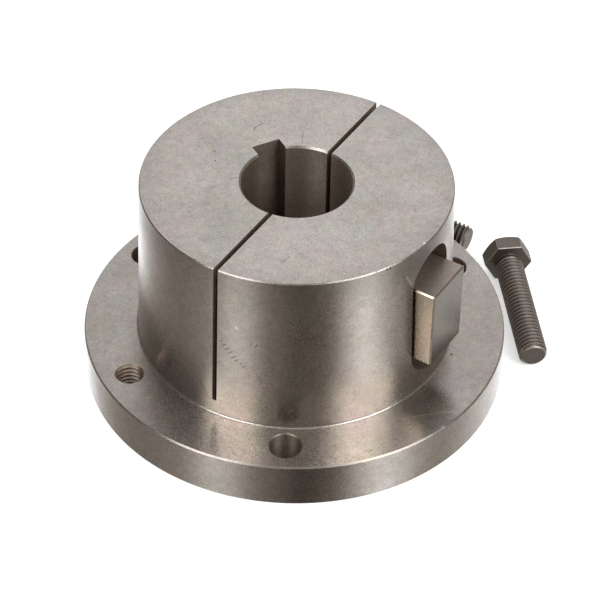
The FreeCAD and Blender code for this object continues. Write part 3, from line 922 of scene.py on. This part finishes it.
def bushing_finish_and_painted_shade(graph, radius, x, y, z):
    """The flange's top is darker and a little rougher, and the bore, holes, seat and sawn faces are
    rough and brown.

    Towards its rim the barrel is a little darker and rougher. Above the key's seat the barrel
    carries a painted dark reflection, and at the seat's foot a smaller diffuse share paints the
    key's shadow.
    """
    def largest(*terms):
        return graph.chain("MAXIMUM", *terms)

    def part(name, share):
        return graph.math("MULTIPLY", masks[name], share)

    masks = bushing_masks(graph, radius, x, y, z)
    tone = toned(graph, (1, 1, 1, 1), [
        (masks[name], part_tone) for name, part_tone in BUSHING_TONES.items()
    ])
    # A smaller diffuse share towards the seat's foot paints the key's shadow
    seat_diffuse = graph.spread(z, *SEAT_SHADOW_FADE, SHADOWED_SEAT_FOOT_DIFFUSE, SEAT_TOP_DIFFUSE)
    diffuse = largest(
        part("holes", HOLE_DIFFUSE), part("bore", HOLE_DIFFUSE),
        part("seat", seat_diffuse), part("sawn", SAWN_DIFFUSE),
    )
    rougher = largest(
        part("holes", CUT_ROUGHER), part("sawn", CUT_ROUGHER), part("seat", CUT_ROUGHER),
        part("bore", BORE_ROUGHER), part("rims", BORE_ROUGHER),
    )
    up_barrel = graph.spread(
        z, FLANGE_THICKNESS * MM, OVERALL_LENGTH * MM, BARREL_FOOT_ROUGHER, BARREL_TOP_ROUGHER
    )
    rougher = graph.chain(
        "ADD", rougher, part("barrel", up_barrel), part("flange", FLANGE_ROUGHER)
    )
    return tone, rougher, graph.math("SUBTRACT", 1.0, diffuse)


def key_finish(graph, *_place):
    """The key's broad face is duller than its sides, and its ends are rougher."""
    out = math.radians(KEYSEAT_ANGLE)
    broad = graph.math("GREATER_THAN", facing(graph, (math.cos(out), math.sin(out), 0)), SQUARE_ON)
    ends = graph.math("GREATER_THAN", facing(graph, UP), SQUARE_ON)
    tone = toned(graph, KEY_SIDE_TONE, ((broad, KEY_BROAD_TONE), (ends, KEY_END_TONE)))
    return tone, graph.math("MULTIPLY", ends, KEY_END_ROUGHER), 1.0


def worn_and_highlighted_steel(name, colour, bare_steel_and_highlight, dark, roughness):
    """Dark finish of the screws, worn to bare steel at crests and edges, which also paints
    highlights there.
    """
    material, graph = new_material(name)
    place = graph.node("ShaderNodeTexCoord", output=3)
    grain = graph.noise(place, SCREW_GRAIN_SCALE, 3.0, 0.6)
    clouds = graph.noise(place, SCREW_CLOUD_SCALE)
    wear_and_highlight = graph.node("ShaderNodeAttribute", output=2, attribute_name="wear_and_highlight")
    base = graph.blend(graph.spread(clouds, *SCREW_PATCH_RANGE), colour, dark)
    share = graph.math("MULTIPLY", wear_and_highlight, graph.spread(clouds, *SCREW_WEAR_AND_HIGHLIGHT_RANGE, 0.75, 1.0))
    base = graph.blend(share, base, bare_steel_and_highlight)
    base = graph.scaled(base, graph.spread(grain, *LEVEL_RANGE, 0.7, 1.3))
    bump = graph.node("ShaderNodeBump", {
        "Strength": SCREW_BUMP_STRENGTH, "Distance": BUMP_DEPTH * MM, "Height": grain,
    })
    dullest, shiniest = roughness + UNEVEN_SCREW_SHINE, roughness - UNEVEN_SCREW_SHINE
    shader = graph.node("ShaderNodeBsdfPrincipled", {
        "Base Color": base, "Metallic": 1.0, "Normal": bump,
        "Roughness": graph.spread(grain, *SHINE_RANGE, shiniest, dullest),
    })
    graph.node("ShaderNodeOutputMaterial", {0: shader})
    return material


# Light that the metal reflects below and above the horizon, by compass direction in degrees
LOWER_LIGHT = (
    (-180, 0.33), (-172, 0.60), (-162, 0.98), (-151, 0.74), (-140, 0.25), (-126, 0.15),
    (-114, 0.05), (-102, 0.08), (-90, 0.18), (-78, 0.78), (-66, 1.42), (-54, 0.90),
    (-42, 0.42), (-30, 0.35), (-14, 0.5), (-2, 0.74), (10, 0.98), (24, 1.36), (34, 1.55),
    (48, 1.8), (90, 1.85), (101, 1.3), (114, 0.58), (126, 0.36), (140, 0.27), (155, 0.24),
    (168, 0.29), (180, 0.33),
)
UPPER_LIGHT = (
    (-180, 0.08), (-150, 0.12), (-126, 0.15), (-90, 0.16), (-30, 0.2), (16, 0.26), (30, 0.42),
    (42, 0.76), (54, 1.03), (70, 0.91), (82, 0.7), (94, 0.42), (106, 0.18), (122, 0.06),
    (150, 0.05), (180, 0.08),
)
LIGHT_SCALE = 2.0
HORIZON_LIGHT = 0.36
ZENITH_LIGHT = 0.9
PLAIN_LIGHT = 1.0
# Sines of the elevations at which a ring is full, and between which the zenith takes over
RING_FULL = 0.45
ZENITH_START, ZENITH_FULL = 0.80, 0.97
# Powers for red, green and blue that warm the light more the darker it is
WARMTH = (1.0, 1.075, 1.15)
# Tint of the light from above
SKY_TINT = (0.985, 1.005, 1.035, 1)

FLOOR_HALF_SIZE = 4000
FLOOR_TOP = -0.02
FLOOR_DEPTH = 20
FLOOR_WHITE = (0.8, 0.8, 0.8, 1)
FLOOR_GLOW = 0.45
# name, compass direction, width and height in metres, level that a mirror would show
SOFTBOXES = (
    ("softbox_left", -163, 0.6, 0.8, 3.6),
    ("softbox_right", -66, 0.68, 0.8, 4.1),
)
SOFTBOX_ELEVATION = math.radians(41)
SOFTBOX_DISTANCE = 1.2
SOFTBOX_AIM = (0, 0, 0.03)


def direction_ramp(graph, compass, stops):
    """Level of light by compass direction, as a share of LIGHT_SCALE."""
    places = [((angle + 180) / 360, level / LIGHT_SCALE) for angle, level in stops]
    return graph.ramp(compass, places)


def make_world():
    """Plain white world, which shows metal a soft gradient of light and dark instead."""
    world = bpy.data.worlds.new("studio")
    world.use_nodes = True
    bpy.context.scene.world = world
    graph = Graph(world.node_tree)
    direction = graph.node("ShaderNodeTexCoord", output=0)
    x, y, z = graph.node("ShaderNodeSeparateXYZ", {0: direction}).node.outputs
    compass = graph.math("DIVIDE", graph.math("ADD", graph.math("ARCTAN2", y, x), math.pi), TAU)
    lower = direction_ramp(graph, compass, LOWER_LIGHT)
    upper = direction_ramp(graph, compass, UPPER_LIGHT)
    horizon, zenith = ((level / LIGHT_SCALE,) * 3 + (1,) for level in (HORIZON_LIGHT, ZENITH_LIGHT))
    above = graph.spread(z, 0.0, RING_FULL)
    sides = graph.blend(graph.spread(z, -RING_FULL, 0.0), lower, horizon)
    sides = graph.blend(above, sides, upper)
    seen = graph.blend(graph.spread(z, ZENITH_START, ZENITH_FULL), sides, zenith)
    level = graph.math("MULTIPLY", seen, LIGHT_SCALE)
    warm = graph.node("ShaderNodeCombineXYZ", {
        channel: graph.math("POWER", level, power) for channel, power in enumerate(WARMTH)
    })
    tinted = graph.blend(above, warm, SKY_TINT, "MULTIPLY")
    reflected = graph.node("ShaderNodeBackground", {0: tinted, 1: 1.0})
    plain = graph.node("ShaderNodeBackground", {0: (1, 1, 1, 1), 1: PLAIN_LIGHT})
    glossy = graph.node("ShaderNodeLightPath").node.outputs["Is Glossy Ray"]
    mixed = graph.node("ShaderNodeMixShader", {0: glossy, 1: plain, 2: reflected})
    graph.node("ShaderNodeOutputWorld", {0: mixed})


def make_floor():
    """White floor that keeps the shadow. Metal sees the world through it, except under the part."""
    side = FLOOR_HALF_SIZE
    corners = ((-side, -side), (side, -side), (side, side), (-side, side))
    floor = prism("floor", corners, FLOOR_TOP - FLOOR_DEPTH, FLOOR_TOP)
    material, graph = new_material("floor_white")
    paths = graph.node("ShaderNodeLightPath").node
    white = graph.node("ShaderNodeBsdfDiffuse", {0: FLOOR_WHITE})
    glow = graph.node("ShaderNodeEmission", {0: (1, 1, 1, 1), 1: FLOOR_GLOW})
    lit = graph.node("ShaderNodeAddShader", {0: white, 1: glow})
    camera_ray = paths.outputs["Is Camera Ray"]
    shown = graph.node("ShaderNodeMixShader", {0: camera_ray, 1: white, 2: lit})
    clear = graph.node("ShaderNodeBsdfTransparent")
    place = graph.node("ShaderNodeTexCoord", output=3)
    far = graph.node("ShaderNodeVectorMath", {0: place}, output=1, operation="LENGTH")
    around = graph.math("GREATER_THAN", far, (FLANGE_RADIUS - 1) * MM)
    let_through = graph.math("MULTIPLY", around, paths.outputs["Is Glossy Ray"])
    whole = graph.node("ShaderNodeMixShader", {0: let_through, 1: shown, 2: clear})
    graph.node("ShaderNodeOutputMaterial", {0: whole})
    floor.data.materials.append(material)


def softbox(name, compass, width, height, level):
    """Soft lamp that faces the object."""
    lamp = bpy.data.lights.new(name, "AREA")
    lamp.shape = "RECTANGLE"
    lamp.size, lamp.size_y = width, height
    lamp.energy = level * math.pi * width * height
    item = bpy.data.objects.new(name, lamp)
    bpy.context.scene.collection.objects.link(item)
    a, e = math.radians(compass), SOFTBOX_ELEVATION
    away = Vector((math.cos(a) * math.cos(e), math.sin(a) * math.cos(e), math.sin(e)))
    item.location = away * SOFTBOX_DISTANCE + Vector(SOFTBOX_AIM)
    item.rotation_mode = "QUATERNION"
    item.rotation_quaternion = away.to_track_quat("Z", "Y")


def make_camera():
    """Camera at the photograph's angle."""
    camera = bpy.data.objects.new("camera", bpy.data.cameras.new("camera"))
    bpy.context.scene.collection.objects.link(camera)
    camera.data.lens = CAMERA_LENS
    camera.data.sensor_width = SENSOR_WIDTH
    right = Vector((1, 0, 0))
    up = Vector((0, math.sin(CAMERA_TILT), math.cos(CAMERA_TILT)))
    ahead = Vector((0, math.cos(CAMERA_TILT), -math.sin(CAMERA_TILT)))
    cos, sin = math.cos(CAMERA_ROLL), math.sin(CAMERA_ROLL)
    axes = (right * cos + up * sin, up * cos - right * sin, -ahead)
    aim = Matrix([[axis[row] for axis in axes] for row in range(3)]).to_4x4()
    back = Matrix.Rotation(-PHOTO_TURN, 4, "Z")
    pan = Matrix.Rotation(CAMERA_PAN, 4, "Z")
    camera.matrix_world = back @ Matrix.Translation(CAMERA_PLACE) @ pan @ aim
    camera.data.clip_start, camera.data.clip_end = CLIP_START, CLIP_END
    bpy.context.scene.camera = camera


def dress(item, material):
    """Give a piece one material."""
    item.data.materials.clear()
    item.data.materials.append(material)


make_camera()
make_world()
make_floor()
for settings in SOFTBOXES:
    softbox(*settings)

# The bushing's tones include a painted dark reflection above the key's seat and a painted shadow at
# the seat's foot
bushing_steel = steel(
    "bushing_steel", colour=(0.53, 0.478, 0.438, 1), tint=(0.495, 0.452, 0.408, 1),
    dark=(0.26, 0.23, 0.2, 1), roughness=0.25, grooves=0.8, mottle=0.35, finish=bushing_finish_and_painted_shade,
    brushed=0.85,
)
key_steel = steel(
    "key_steel", colour=(0.57, 0.515, 0.445, 1), tint=(0.53, 0.477, 0.412, 1),
    dark=(0.28, 0.25, 0.22, 1), roughness=0.25, grooves=0.2, mottle=0.25, finish=key_finish,
)
# The bare steel colour is partly wear, partly painted highlights on the crests, edges and tip
# chamfer
screw_steel = worn_and_highlighted_steel(
    "screw_steel", colour=(0.072, 0.06, 0.05, 1), bare_steel_and_highlight=(0.56, 0.5, 0.45, 1),
    dark=(0.05, 0.042, 0.036, 1), roughness=0.5,
)

bushing = make_bushing()
dress(bushing, bushing_steel)
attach(bushing, "root")
for screw in make_screws():
    dress(screw, screw_steel)
    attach(screw, "root")
dress(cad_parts["outside_key"], key_steel)

bpy.context.scene.view_settings.view_transform = "Standard"
